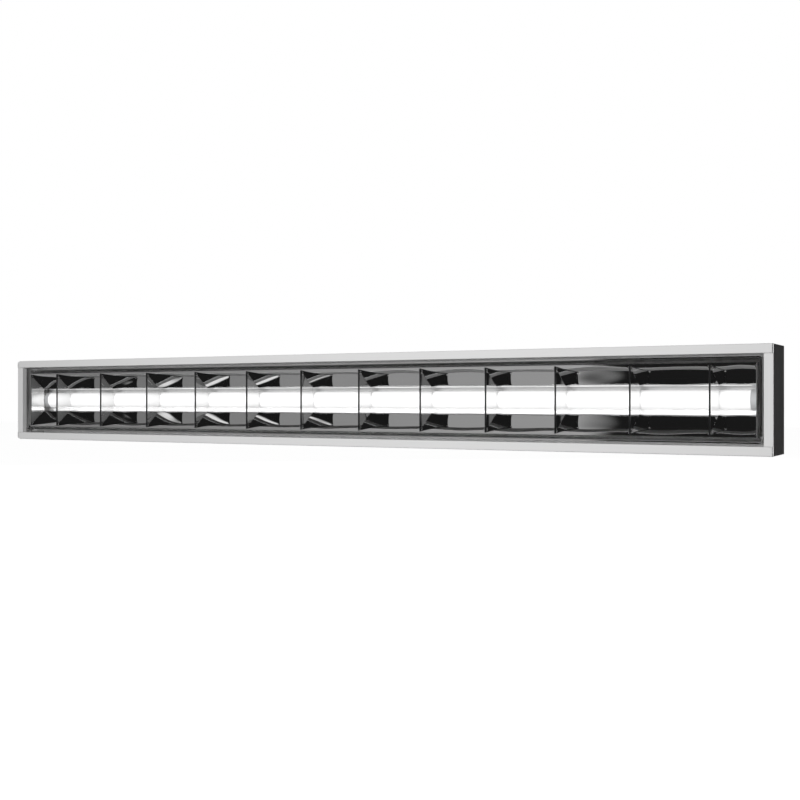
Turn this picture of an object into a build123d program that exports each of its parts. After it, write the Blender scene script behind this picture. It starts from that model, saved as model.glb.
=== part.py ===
from build123d import *
from math import atan, degrees, sqrt
import os

# Surface-mounted linear luminaire: one tubular lamp behind a mirror louvre in a folded steel housing.
# Millimetres. X runs along the length, the light face looks towards -Y and Z is up.
# The origin is the centre of the back face.

# The lamp sets the length of everything
lamp_body_length = 1199.4

# Housing
lamp_end_space = 25.3
body_length = lamp_body_length + 2 * lamp_end_space
body_height = 133.0
body_depth = 66.0
housing_sheet = 0.8
flange_width = 11.5
lip_depth = 9.0
bend_radius = 1.2

# End caps
cap_sheet = 1.0
cap_gap = 0.8
joint_gap = 0.2
cap_step = 0.5
left_corner_radius = 4.5
right_corner_radius = 2.0
right_flange_break = 0.6
cap_tab_reach = 15.0
cap_tab_margin = 8.0
back_tab_width = 30.0
back_tab_drop = 35.0

# Louvre
louvre_recess = 9.0
rim_gap = 2.6
rim_end_gap = 1.5
wing_width = 8.0
wing_depth = 7.5
rim_return = 6.0
reflector_depth = 26.6
throat_half = 17.5
reflector_sheet = 0.5
reflector_bow = 0.6
ridge_radius = 1.0
mitre_gap = 0.3

# Cross blades
blade_count = 12
end_cell_length = 58.5
blade_row_shift = 2.9
blade_depth = 25.4
blade_half_width = 5.5
end_blade_reach = 5.9
blade_sheet = 0.4
blade_nose_radius = 1.0
blade_bow = 0.4
blade_side_gap = 0.25
tab_stand = 1.5
front_tab_height = 2.4
rear_tab_height = 4.0
front_tab_depth = 3.2
rear_tab_depth = 14.0
tab_play = 0.25
front_slot_radius = 1.7

# Louvre hinge and catch
pivot_depth = 3.0
pivot_inset = 5.0
pin_radius = 2.0
pin_running_gap = 0.05
pin_seat_gap = 0.02
pin_head_radius = 3.0
pin_head_height = 1.0
pin_chamfer = 0.3
ear_margin = 1.2
ear_length = 9.6
bracket_sheet = 1.0
bracket_stand = 6.5
pin_end_stand = 1.0
bracket_width = 11.0
bracket_rise = 6.0
bracket_foot = 11.0
bracket_lip_gap = 0.6
catch_offset = 400.0
catch_sheet = 0.5
catch_width = 12.0
catch_foot = 12.0
catch_rim_gap = 0.6
catch_bead_radius = 1.1
catch_bead_width = 6.0
catch_bead_setback = 3.0
catch_slot_play = 0.6
catch_rivet_radius = 1.6
catch_rivet_head_radius = 3.0
catch_rivet_head_height = 0.8

# Gear tray
tray_sheet = 0.6
tray_floor_stand = 4.0
tray_duct_stand = 16.0
tray_floor_half = 19.0
tray_slope_run = 8.0
tray_end_gap = 9.0
tray_bend_radius = 1.2
tray_screw_offset = 450.0
tray_screw_z = 8.0
tray_screw_radius = 1.9
tray_screw_head_radius = 3.4
tray_screw_head_height = 1.5
tray_screw_cross = 4.0
spacer_radius = 3.4
thread_gap = 0.1

# Lamp
lamp_stand = 17.5
tube_radius = 12.7
tube_wall = 0.8
lamp_cap_length = 9.0
lamp_cap_gap = 0.1
lamp_cap_wall = 0.3
lamp_cap_disc = 1.5
lamp_pin_radius = 1.175
lamp_pin_spacing = 12.7
lamp_pin_length = 7.1
strip_width = 10.0
strip_thickness = 1.2
strip_seat_gap = 0.05
strip_end_gap = 30.0
chip_count = 60
chip_size = 3.0
chip_height = 0.7
driver_length = 22.0
driver_width = 14.0
driver_board_thickness = 1.2
driver_strip_gap = 0.8
capacitor_radius = 3.5
capacitor_length = 12.0
coil_size = 7.0
coil_height = 5.0
component_margin = 1.0
component_seat = 0.3

# Lampholders
holder_lamp_gap = 0.5
holder_thickness = 13.0
holder_radius = 12.5
rotor_radius = 8.3
rotor_gap = 0.3
rotor_thickness = 5.3
rotor_lamp_gap = 1.0
rotor_hub = 4.6
pin_slot_gap = 0.225
chamber_depth = 4.0
chamber_step = 0.6
contact_sheet = 0.4
contact_width = 3.0
contact_height = 2.6
contact_gap = 0.3
holder_edge = 0.8
foot_half_width = 8.0
foot_half_depth = 4.0
foot_gap = 0.3

# Mains terminal and wiring
terminal_x = 75.0
terminal_length = 20.0
terminal_height = 12.0
pole_pitch = 8.5
terminal_width = 26.0
terminal_slope_gap = 1.0
terminal_wall_gap = 2.4
sleeve_radius = 2.0
sleeve_length = 15.0
sleeve_gap = 0.05
pole_entry_height = 4.2
terminal_screw_radius = 1.4
terminal_screw_length = 4.5
terminal_screw_offset = 4.5
terminal_well_radius = 1.7
screw_slot_width = 0.6
screw_slot_depth = 0.8
lead_insertion = 8.0
lead_radius = 1.0
lead_bore_gap = 0.1
lead_seat_gap = 0.15
lead_straight = 5.0
lead_ramp = 14.0
lead_ramp_radius = 9.0
lead_turn_radius = 14.0
clip_length = 6.0
clip_wall = 1.4
clip_play = 0.1
clip_pitch = 165.0
earth_x = 20.0
stud_radius = 1.9
stud_length = 10.0
lug_radius = 3.8
lug_thickness = 0.8
lug_neck = 5.0
lug_barrel_length = 8.0
lug_barrel_radius = 1.7
nut_across_flats = 7.0
nut_height = 3.2

# Openings in the back
fixing_spacing_x = 860.0
fixing_spacing_z = 98.0
fixing_hole_radius = 2.75
entry_x = 130.0
entry_hole_radius = 7.0
grommet_bore_radius = 4.5
grommet_flange_radius = 9.5
grommet_flange_height = 2.2
grommet_fit_gap = 0.1
grommet_wall_gap = 2.9
grommet_edge = 0.5

# Places worked out from the sizes above
body_half = body_height / 2
front_y = -body_depth
inner_back_y = -housing_sheet
opening_half_height = body_half - flange_width
opening_half_length = body_length / 2 - flange_width
lip_end_y = front_y + lip_depth
channel_half = body_length / 2 - cap_sheet - cap_gap
cap_inner_x = body_length / 2 - cap_sheet
wall_inner_z = body_half - housing_sheet

ridge_y = front_y + louvre_recess
rim_z = opening_half_height - rim_gap
rim_x = opening_half_length - rim_end_gap
ridge_z = rim_z - wing_width
ridge_x = rim_x - wing_width
rim_y = ridge_y + wing_depth
return_y = rim_y + rim_return
throat_y = ridge_y + reflector_depth
blade_rear_y = ridge_y + blade_depth
blade_pitch = 2 * (ridge_x - end_cell_length) / (blade_count - 1)
blade_places = [
    (i - (blade_count - 1) / 2) * blade_pitch + blade_row_shift for i in range(blade_count)
]

pivot_y = ridge_y + pivot_depth
pivot_z = -(opening_half_height - pivot_inset)
pivot = (pivot_y, pivot_z)
ear_inner_x = rim_x - blade_sheet
ear_radius = pin_radius + ear_margin
bracket_ear_x = cap_inner_x - bracket_stand
hinge_pin_length = bracket_ear_x + pin_end_stand - ear_inner_x

tray_half_length = body_length / 2 - tray_end_gap
terminal_z = tray_floor_half + tray_slope_run + terminal_slope_gap + terminal_width / 2
tray_half_width = terminal_z + terminal_width / 2 + terminal_wall_gap + tray_sheet
entry_z = tray_half_width - tray_sheet - grommet_wall_gap - grommet_flange_radius
tray_floor_y = -tray_floor_stand
tray_duct_y = -tray_duct_stand
lamp_y = -lamp_stand
lamp_face_x = lamp_body_length / 2
tube_inner_radius = tube_radius - tube_wall
tube_half = lamp_face_x - lamp_cap_disc - lamp_cap_gap
strip_half_length = tube_half - strip_end_gap
lamp_cap_radius = tube_radius + lamp_cap_gap + lamp_cap_wall
pin_tip_x = lamp_face_x + lamp_pin_length
holder_face_x = lamp_face_x + holder_lamp_gap
holder_middle_x = holder_face_x + holder_thickness / 2
rotor_face_x = lamp_face_x + rotor_lamp_gap
rotor_bore_radius = rotor_radius + rotor_gap
rotor_recess_depth = rotor_lamp_gap - holder_lamp_gap + rotor_thickness + rotor_gap
pin_slot_width = 2 * (lamp_pin_radius + pin_slot_gap)
contact_face_x = pin_tip_x + contact_gap
pin_offset = lamp_pin_spacing / 2
lead_y = inner_back_y - lead_seat_gap - lead_radius
pole_y = inner_back_y - pole_entry_height

os.makedirs("parts", exist_ok=True)


def save(piece, name):
    """Label one finished piece and write it."""
    piece.part.label = name
    export_step(piece.part, f"parts/{name}.step")


def bow_point(start, end, bow):
    """The middle of a shallow arc, which stands out by bow to the left of the line from start to end."""
    along = Vector(end) - Vector(start)
    left = Vector(-along.Y, along.X).normalized()
    return (Vector(start) + Vector(end)) / 2 + left * bow


def fold_start(start, centre, radius, bow, side):
    """Where a shallow arc from start meets a fold: left of the fold's centre (side 1) or right (side -1)."""
    along = Vector(centre) - Vector(start)
    lean = -degrees(2 * atan(2 * bow / along.length))
    outward = Vector(-along.Y, along.X).normalized() * side
    return Vector(centre) + outward.rotate(Axis.Z, lean) * radius


# Housing channel: one folded sheet, open at both ends
with BuildPart() as housing_channel:
    with BuildSketch(Plane.YZ.offset(-channel_half)):
        with BuildLine():
            FilletPolyline(
                (lip_end_y, opening_half_height),
                (front_y, opening_half_height),
                (front_y, body_half),
                (0, body_half),
                (0, -body_half),
                (front_y, -body_half),
                (front_y, -opening_half_height),
                (lip_end_y, -opening_half_height),
                radius=bend_radius,
            )
            offset(amount=housing_sheet, side=Side.RIGHT)
        make_face()
    extrude(amount=2 * channel_half)
    # Fixing holes and the cable entry in the back
    with BuildSketch(Plane.XZ):
        with GridLocations(fixing_spacing_x, fixing_spacing_z, 2, 2):
            Circle(fixing_hole_radius)
        with Locations((entry_x, entry_z)):
            Circle(entry_hole_radius)
    extrude(amount=housing_sheet, mode=Mode.SUBTRACT)
    # Rounded front corners at the left end, a small edge break at the right end
    for corner_x, radius in ((-channel_half, left_corner_radius), (channel_half, right_flange_break)):
        for corner_z in (-body_half, body_half):
            inward_x = -1 if corner_x > 0 else 1
            inward_z = -1 if corner_z > 0 else 1
            with BuildSketch(Plane.XZ.offset(body_depth)):
                with Locations((corner_x + inward_x * radius / 2, corner_z + inward_z * radius / 2)):
                    Rectangle(radius, radius)
                with Locations((corner_x + inward_x * radius, corner_z + inward_z * radius)):
                    Circle(radius, mode=Mode.SUBTRACT)
            extrude(amount=-radius, mode=Mode.SUBTRACT)
save(housing_channel, "housing_channel")


def end_cap(side, corner_radius):
    """A folded end cap: end plate, front flange with its return lip, and tabs inside the channel."""
    flange_reach = opening_half_height - joint_gap
    plate_half = body_half - cap_step
    outer_x = side * body_length / 2
    lip_x = side * opening_half_length
    with BuildPart() as cap:
        with BuildSketch(Plane.XY.offset(-flange_reach)):
            with BuildLine():
                FilletPolyline(
                    (lip_x, lip_end_y),
                    (lip_x, front_y),
                    (outer_x, front_y),
                    (outer_x, front_y + 2 * bend_radius),
                    radius=bend_radius,
                )
                offset(amount=cap_sheet, side=Side.LEFT if side > 0 else Side.RIGHT)
            make_face()
        extrude(amount=2 * flange_reach)
        with BuildSketch(Plane.YZ.offset(side * cap_inner_x)) as plate:
            with Locations((front_y / 2, 0)):
                Rectangle(body_depth, 2 * plate_half)
            fillet(plate.vertices().group_by(Axis.X)[0], corner_radius)
            with Locations((front_y + bend_radius / 2, 0)):
                Rectangle(bend_radius, 2 * flange_reach, mode=Mode.SUBTRACT)
        extrude(amount=side * cap_sheet)
        with BuildSketch(Plane.YZ.offset(side * cap_inner_x)):
            with Locations((front_y / 2, 0)):
                with GridLocations(0, 2 * wall_inner_z - cap_sheet, 1, 2):
                    Rectangle(body_depth - 2 * cap_tab_margin, cap_sheet)
            with Locations((inner_back_y - cap_sheet / 2, -back_tab_drop)):
                Rectangle(cap_sheet, back_tab_width)
        extrude(amount=-side * cap_tab_reach)
    return cap


save(end_cap(-1, left_corner_radius), "end_cap_left")
save(end_cap(1, right_corner_radius), "end_cap_right")


# Louvre sections. Coordinates are (y, z) for the side reflectors and (x, y) for the blades.
throat = (throat_y, throat_half)
ridge_centre = (ridge_y + ridge_radius, ridge_z)
ridge_start = fold_start(throat, ridge_centre, ridge_radius, reflector_bow, 1)
wing_start = (ridge_y + ridge_radius, ridge_z + ridge_radius)
wing_bow = 0.2 * sqrt(wing_width**2 + wing_depth**2)
louvre_front_y = ridge_y - ridge_radius
window_reach = blade_half_width + blade_nose_radius


def reflector_z(y):
    """Half height of the straight line from throat to ridge, at a given y."""
    return throat_half + (ridge_start.Y - throat_half) * (throat_y - y) / (throat_y - ridge_start.X)


def flank_slope(flank_reach):
    """How far a flank leans out for each millimetre of depth, when its rear edge stands flank_reach out."""
    return (flank_reach - blade_nose_radius) / (blade_depth - blade_nose_radius)


def flank_x(depth, flank_reach):
    """Distance of a flank's sheet from the plane of its own nose, at a given depth behind the ridge."""
    share = (depth - blade_nose_radius) / (blade_depth - blade_nose_radius)
    straight_x = blade_nose_radius + flank_slope(flank_reach) * (depth - blade_nose_radius)
    return straight_x - 4 * blade_bow * share * (1 - share) - blade_sheet / 2


# Every flank whose tabs pass through the side reflectors: place of its nose, side and reach
tabbed_flanks = [(x, side, blade_half_width) for x in blade_places for side in (-1, 1)]
tabbed_flanks += [(-side * ridge_x, side, end_blade_reach) for side in (-1, 1)]


def cell_window(grow):
    """The space between the two side reflectors seen along X, with the tabs that reach through them."""
    with BuildLine() as outline:
        upper = ThreePointArc(throat, bow_point(throat, ridge_start, reflector_bow), ridge_start)
        Polyline(
            upper @ 1,
            (louvre_front_y, ridge_start.Y),
            (louvre_front_y, -ridge_start.Y),
            (ridge_start.X, -ridge_start.Y),
        )
        low_throat = (throat_y, -throat_half)
        low_ridge = (ridge_start.X, -ridge_start.Y)
        lower = ThreePointArc(low_ridge, bow_point(low_ridge, low_throat, reflector_bow), low_throat)
        Line(lower @ 1, throat)
    make_face(outline.edges())
    offset(amount=grow)
    for depth, height in ((front_tab_depth, front_tab_height), (rear_tab_depth, rear_tab_height)):
        tab_y = ridge_y + depth
        reach = reflector_z(tab_y) + reflector_sheet + tab_stand
        with Locations((tab_y, 0)):
            Rectangle(height, 2 * reach)


def rounded_corner_waste(side, corner_z):
    """What is cut off outside the louvre's rounded corner, seen along Y."""
    outward_z = wing_width if corner_z > 0 else -wing_width
    with Locations((side * (ridge_x + wing_width), corner_z + outward_z)):
        Rectangle(2 * wing_width, 2 * wing_width)
    with Locations((side * ridge_x, corner_z)):
        Circle(wing_width, mode=Mode.SUBTRACT)


# Side reflectors: mirror face from throat to ridge, outer wing and its return rim
with BuildPart() as side_reflector_top:
    with BuildSketch(Plane.YZ.offset(-rim_x)):
        with BuildLine():
            mirror_face = ThreePointArc(throat, bow_point(throat, ridge_start, reflector_bow), ridge_start)
            ThreePointArc(ridge_start, (ridge_y, ridge_z), wing_start)
            ThreePointArc(wing_start, bow_point(wing_start, (rim_y, rim_z), -wing_bow), (rim_y, rim_z))
            Line((rim_y, rim_z), (return_y, rim_z))
            offset(amount=reflector_sheet, side=Side.RIGHT)
        make_face()
    extrude(amount=2 * rim_x)
    # Mitred and rounded ends, clear of the end blades' wings
    for side in (-1, 1):
        with BuildSketch(Plane.XZ.offset(-return_y)):
            rounded_corner_waste(side, ridge_z)
            with BuildLine():
                Polyline(
                    (side * (ridge_x - mitre_gap), 0),
                    (side * (ridge_x - mitre_gap), ridge_z + mitre_gap / 2),
                    (side * ridge_x, ridge_z + mitre_gap / 2),
                    (side * (rim_x + wing_width), rim_z + wing_width + mitre_gap / 2),
                    (side * (rim_x + wing_width), 0),
                    close=True,
                )
            make_face()
        extrude(amount=body_depth, both=True, mode=Mode.SUBTRACT)
    # Slots for the blades' tabs
    with BuildSketch(Plane.XY.offset(throat_half)):
        for x, flank, flank_reach in tabbed_flanks:
            front_x = x + flank * flank_x(front_tab_depth, flank_reach)
            rear_x = x + flank * flank_x(rear_tab_depth, flank_reach)
            with Locations((front_x, ridge_y + front_tab_depth)):
                Circle(front_slot_radius)
            with Locations((rear_x, ridge_y + rear_tab_depth)):
                Rectangle(
                    blade_sheet + 2 * tab_play,
                    rear_tab_height + 2 * tab_play,
                    rotation=-flank * degrees(atan(flank_slope(flank_reach))),
                )
    extrude(amount=ridge_z - throat_half, mode=Mode.SUBTRACT)
    # Slots in the return rim for the catch springs
    with BuildSketch(Plane.XY.offset(rim_z - 2 * reflector_sheet)):
        with Locations(
            (-catch_offset, return_y - catch_bead_setback),
            (catch_offset, return_y - catch_bead_setback),
        ):
            Rectangle(catch_bead_width + 2 * catch_slot_play, 2 * (catch_bead_radius + catch_slot_play))
    extrude(amount=3 * reflector_sheet, mode=Mode.SUBTRACT)
save(side_reflector_top, "side_reflector_top")

with BuildPart() as side_reflector_bottom:
    mirror(side_reflector_top.part, about=Plane.XY)
save(side_reflector_bottom, "side_reflector_bottom")


# Cross blades: folded to a thin V, held by tabs in the side reflectors
def flank_ends(nose_centre, side, flank_reach):
    """The rear edge of one blade flank and the point where it meets the fold at the front."""
    rear = (nose_centre[0] - side * flank_reach, blade_rear_y)
    front = fold_start(rear, nose_centre, blade_nose_radius, side * blade_bow, -side)
    return rear, front


def cross_blade(x):
    """One cross blade whose front edge stands at x."""
    nose_centre = (0, ridge_y + blade_nose_radius)
    left_rear, left_front = flank_ends(nose_centre, 1, blade_half_width)
    right_rear, right_front = flank_ends(nose_centre, -1, blade_half_width)
    with BuildPart() as blade:
        with BuildSketch(Plane((x, 0, -rim_z))):
            with BuildLine():
                ThreePointArc(left_rear, bow_point(left_rear, left_front, blade_bow), left_front)
                ThreePointArc(left_front, (0, ridge_y), right_front)
                ThreePointArc(right_front, bow_point(right_front, right_rear, blade_bow), right_rear)
                offset(amount=blade_sheet, side=Side.LEFT)
            make_face()
        extrude(amount=2 * rim_z)
        with BuildSketch(Plane.YZ.offset(x - window_reach)):
            cell_window(-blade_side_gap)
        extrude(amount=2 * window_reach, mode=Mode.INTERSECT)
    return blade


for number, x in enumerate(blade_places, start=1):
    save(cross_blade(x), f"cross_blade_{number:02d}")


# End blades: an inner flank like the cross blades', an outer wing, its return rim and the hinge ear
with BuildPart() as end_blade_space:
    with BuildSketch(Plane.YZ.offset(ridge_x - window_reach)):
        cell_window(-blade_side_gap)
    extrude(amount=window_reach)
    with BuildSketch(Plane.XZ.offset(-return_y)):
        with BuildLine():
            Polyline(
                (ridge_x, ridge_z - mitre_gap / 2),
                (rim_x, rim_z - mitre_gap / 2),
                (rim_x, mitre_gap / 2 - rim_z),
                (ridge_x, mitre_gap / 2 - ridge_z),
                close=True,
            )
        make_face()
    extrude(amount=body_depth)

with BuildPart() as end_blade_right:
    nose_centre = (ridge_x, ridge_y + blade_nose_radius)
    wing_root = (ridge_x + blade_nose_radius, ridge_y + blade_nose_radius)
    rim_corner = (rim_x, rim_y)
    flank_rear, flank_front = flank_ends(nose_centre, 1, end_blade_reach)
    with BuildSketch(Plane.XY.offset(-rim_z)):
        with BuildLine():
            ThreePointArc(flank_rear, bow_point(flank_rear, flank_front, blade_bow), flank_front)
            ThreePointArc(flank_front, (ridge_x, ridge_y), wing_root)
            ThreePointArc(wing_root, bow_point(wing_root, rim_corner, wing_bow), rim_corner)
            Line(rim_corner, (rim_x, return_y))
            offset(amount=blade_sheet, side=Side.LEFT)
        make_face()
    extrude(amount=2 * rim_z)
    add(end_blade_space.part, mode=Mode.INTERSECT)
    with BuildSketch(Plane.XZ.offset(-return_y)):
        rounded_corner_waste(1, ridge_z)
        rounded_corner_waste(1, -ridge_z)
    extrude(amount=body_depth, both=True, mode=Mode.SUBTRACT)
    with BuildSketch(Plane.YZ.offset(ear_inner_x)) as ear:
        with Locations((pivot_y - ear_radius, pivot_z - ear_radius)):
            Rectangle(return_y - pivot_y + ear_radius, ear_length, align=(Align.MIN, Align.MIN))
        fillet(ear.vertices().group_by(Axis.Y)[0].sort_by(Axis.X)[0], ear_radius)
        with Locations(pivot):
            Circle(pin_radius + pin_seat_gap, mode=Mode.SUBTRACT)
    extrude(amount=blade_sheet)
save(end_blade_right, "end_blade_right")

with BuildPart() as end_blade_left:
    mirror(end_blade_right.part, about=Plane.YZ)
save(end_blade_left, "end_blade_left")


def round_along_x(start, length, centre, radius, bore=0):
    """A round bar or tube along X about centre (y, z), added to the part being built."""
    with BuildSketch(Plane.YZ.offset(start)) as section:
        with Locations(centre):
            Circle(radius)
            if bore:
                Circle(bore, mode=Mode.SUBTRACT)
    extrude(section.sketch, amount=length)


def round_along_y(centre, start, length, radius, bore=0):
    """A round bar or tube about centre (x, z), standing forwards from start."""
    with BuildSketch(Plane.XZ.offset(-start)) as section:
        with Locations(centre):
            Circle(radius)
            if bore:
                Circle(bore, mode=Mode.SUBTRACT)
    extrude(section.sketch, amount=length)


# Hinge pins, fixed in the end blades' ears, and the brackets they turn in
def hinge_pin(side):
    """A headed pin through the ear and the bracket."""
    with BuildPart() as pin:
        round_along_x(side * ear_inner_x, side * hinge_pin_length, pivot, pin_radius)
        chamfer(pin.edges().sort_by(Axis.X)[-1 if side > 0 else 0], pin_chamfer)
        round_along_x(side * ear_inner_x, -side * pin_head_height, pivot, pin_head_radius)
    return pin


save(hinge_pin(-1), "hinge_pin_left")
save(hinge_pin(1), "hinge_pin_right")

with BuildPart() as hinge_bracket_right:
    bracket_low_z = bracket_lip_gap - opening_half_height
    bracket_bend_z = pivot_z + bracket_rise
    with BuildSketch(Plane.XZ.offset(-pivot_y - bracket_width / 2)):
        with BuildLine():
            FilletPolyline(
                (bracket_ear_x, bracket_low_z),
                (bracket_ear_x, bracket_bend_z),
                (cap_inner_x, bracket_bend_z),
                (cap_inner_x, bracket_bend_z + bracket_foot),
                radius=bend_radius,
            )
            offset(amount=bracket_sheet, side=Side.LEFT)
        make_face()
    extrude(amount=bracket_width)
    with BuildSketch(Plane.YZ.offset(bracket_ear_x)):
        with Locations(pivot):
            Circle(pin_radius + pin_running_gap)
    extrude(amount=-bracket_sheet, mode=Mode.SUBTRACT)
save(hinge_bracket_right, "hinge_bracket_right")

with BuildPart() as hinge_bracket_left:
    mirror(hinge_bracket_right.part, about=Plane.YZ)
save(hinge_bracket_left, "hinge_bracket_left")


# Catch springs: leaves on the gear tray whose beads snap into the upper rim of the louvre
catch_leaf_z = rim_z - reflector_sheet - catch_rim_gap
catch_bead_y = return_y - catch_bead_setback
catch_rivet_z = catch_leaf_z - catch_foot / 2


def catch_spring(x):
    """One catch spring, with its middle at x."""
    with BuildPart() as spring:
        with BuildSketch(Plane.YZ.offset(x - catch_width / 2)):
            with BuildLine():
                FilletPolyline(
                    (tray_duct_y, catch_leaf_z - catch_foot),
                    (tray_duct_y, catch_leaf_z),
                    (catch_bead_y, catch_leaf_z),
                    radius=bend_radius,
                )
                offset(amount=catch_sheet, side=Side.LEFT)
            make_face()
        extrude(amount=catch_width)
        bead_centre = (catch_bead_y, catch_leaf_z)
        round_along_x(x - catch_bead_width / 2, catch_bead_width, bead_centre, catch_bead_radius)
        with BuildSketch(Plane.XZ.offset(tray_duct_stand)):
            with Locations((x, catch_rivet_z)):
                Circle(catch_rivet_radius + thread_gap)
        extrude(amount=catch_sheet, mode=Mode.SUBTRACT)
    return spring


save(catch_spring(-catch_offset), "catch_spring_left")
save(catch_spring(catch_offset), "catch_spring_right")

with BuildPart() as catch_rivets:
    for x in (-catch_offset, catch_offset):
        shank_length = tray_sheet + catch_sheet
        round_along_y((x, catch_rivet_z), tray_duct_y + tray_sheet, shank_length, catch_rivet_radius)
        head_y = tray_duct_y - catch_sheet
        round_along_y((x, catch_rivet_z), head_y, catch_rivet_head_height, catch_rivet_head_radius)
save(catch_rivets, "catch_rivets")


# Gear tray: a folded floor behind the lamp between two wiring ducts
with BuildPart() as gear_tray:
    with BuildSketch(Plane.YZ.offset(-tray_half_length)):
        with BuildLine():
            FilletPolyline(
                (inner_back_y, tray_half_width),
                (tray_duct_y, tray_half_width),
                (tray_duct_y, tray_floor_half + tray_slope_run),
                (tray_floor_y, tray_floor_half),
                (tray_floor_y, -tray_floor_half),
                (tray_duct_y, -tray_floor_half - tray_slope_run),
                (tray_duct_y, -tray_half_width),
                (inner_back_y, -tray_half_width),
                radius=tray_bend_radius,
            )
            offset(amount=tray_sheet, side=Side.LEFT)
        make_face()
    extrude(amount=2 * tray_half_length)
    with BuildSketch(Plane.XZ):
        with GridLocations(2 * holder_middle_x, 0, 2, 1):
            Rectangle(2 * (foot_half_depth + foot_gap), 2 * (foot_half_width + foot_gap))
        with GridLocations(2 * tray_screw_offset, 2 * tray_screw_z, 2, 2):
            Circle(tray_screw_radius + thread_gap)
        with Locations((-catch_offset, catch_rivet_z), (catch_offset, catch_rivet_z)):
            Circle(catch_rivet_radius + thread_gap)
    extrude(amount=body_depth, mode=Mode.SUBTRACT)
save(gear_tray, "gear_tray")

tray_screw_places = [
    (x, z) for x in (-tray_screw_offset, tray_screw_offset) for z in (-tray_screw_z, tray_screw_z)
]
spacer_height = tray_floor_stand - tray_sheet - housing_sheet

with BuildPart() as tray_spacers:
    for place in tray_screw_places:
        round_along_y(place, inner_back_y, spacer_height, spacer_radius, tray_screw_radius + thread_gap)
save(tray_spacers, "tray_spacers")

with BuildPart() as tray_screws:
    for place in tray_screw_places:
        round_along_y(place, inner_back_y, tray_floor_stand - housing_sheet, tray_screw_radius)
        round_along_y(place, tray_floor_y, tray_screw_head_height, tray_screw_head_radius)
        with BuildSketch(Plane.XZ.offset(tray_floor_stand + tray_screw_head_height)):
            with Locations(place):
                Rectangle(tray_screw_cross, screw_slot_width)
                Rectangle(screw_slot_width, tray_screw_cross)
        extrude(amount=-screw_slot_depth, mode=Mode.SUBTRACT)
save(tray_screws, "tray_screws")


# Lamp: glass tube, end caps with two pins each, led strip and driver
with BuildPart() as lamp_tube:
    round_along_x(-tube_half, 2 * tube_half, (lamp_y, 0), tube_radius, tube_inner_radius)
save(lamp_tube, "lamp_tube")


def lamp_cap(side):
    """One lamp end cap: a thin sleeve over the tube, closed by a disc with two pin holes."""
    with BuildPart() as cap:
        face_x = side * lamp_face_x
        round_along_x(face_x, -side * lamp_cap_length, (lamp_y, 0), lamp_cap_radius)
        chamfer(cap.edges().sort_by(Axis.X)[-1 if side > 0 else 0], lamp_cap_wall)
        with BuildSketch(Plane.YZ.offset(face_x - side * lamp_cap_disc)):
            with Locations((lamp_y, 0)):
                Circle(lamp_cap_radius - lamp_cap_wall)
        extrude(amount=-side * lamp_cap_length, mode=Mode.SUBTRACT)
        with BuildSketch(Plane.YZ.offset(face_x)):
            with Locations((lamp_y, -pin_offset), (lamp_y, pin_offset)):
                Circle(lamp_pin_radius + pin_seat_gap)
        extrude(amount=-side * lamp_cap_disc, mode=Mode.SUBTRACT)
    return cap


def lamp_pins(side):
    """The two pins of one lamp end."""
    with BuildPart() as pins:
        full_length = lamp_pin_length + 2 * lamp_cap_disc
        for z in (-pin_offset, pin_offset):
            round_along_x(side * pin_tip_x, -side * full_length, (lamp_y, z), lamp_pin_radius)
        chamfer(pins.edges().group_by(Axis.X)[-1 if side > 0 else 0], pin_chamfer)
    return pins


save(lamp_cap(-1), "lamp_cap_left")
save(lamp_cap(1), "lamp_cap_right")
save(lamp_pins(-1), "lamp_pins_left")
save(lamp_pins(1), "lamp_pins_right")

strip_back_y = lamp_y + sqrt(tube_inner_radius**2 - (strip_width / 2) ** 2) - strip_seat_gap
strip_front_y = strip_back_y - strip_thickness

with BuildPart() as lamp_led_strip:
    with BuildSketch(Plane.XZ.offset(-strip_back_y)):
        Rectangle(2 * strip_half_length, strip_width)
    extrude(amount=strip_thickness)
save(lamp_led_strip, "lamp_led_strip")

with BuildPart() as lamp_led_chips:
    with BuildSketch(Plane.XZ.offset(-strip_front_y)):
        with GridLocations(2 * strip_half_length / chip_count, 0, chip_count, 1):
            Rectangle(chip_size, chip_size)
    extrude(amount=chip_height)
save(lamp_led_chips, "lamp_led_chips")

with BuildPart() as lamp_driver:
    board_x = strip_half_length + driver_strip_gap
    board_back_y = lamp_y + sqrt(tube_inner_radius**2 - (driver_width / 2) ** 2) - strip_seat_gap
    board_front_y = board_back_y - driver_board_thickness
    with BuildSketch(Plane.XZ.offset(-board_back_y)):
        with Locations((board_x + driver_length / 2, 0)):
            Rectangle(driver_length, driver_width)
    extrude(amount=driver_board_thickness)
    capacitor_y = board_front_y - capacitor_radius + component_seat
    round_along_x(board_x + component_margin, capacitor_length, (capacitor_y, 0), capacitor_radius)
    with BuildSketch(Plane.XZ.offset(-board_front_y)):
        with Locations((board_x + driver_length - component_margin - coil_size / 2, 0)):
            Rectangle(coil_size, coil_size)
    extrude(amount=coil_height)
save(lamp_driver, "lamp_driver")


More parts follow.
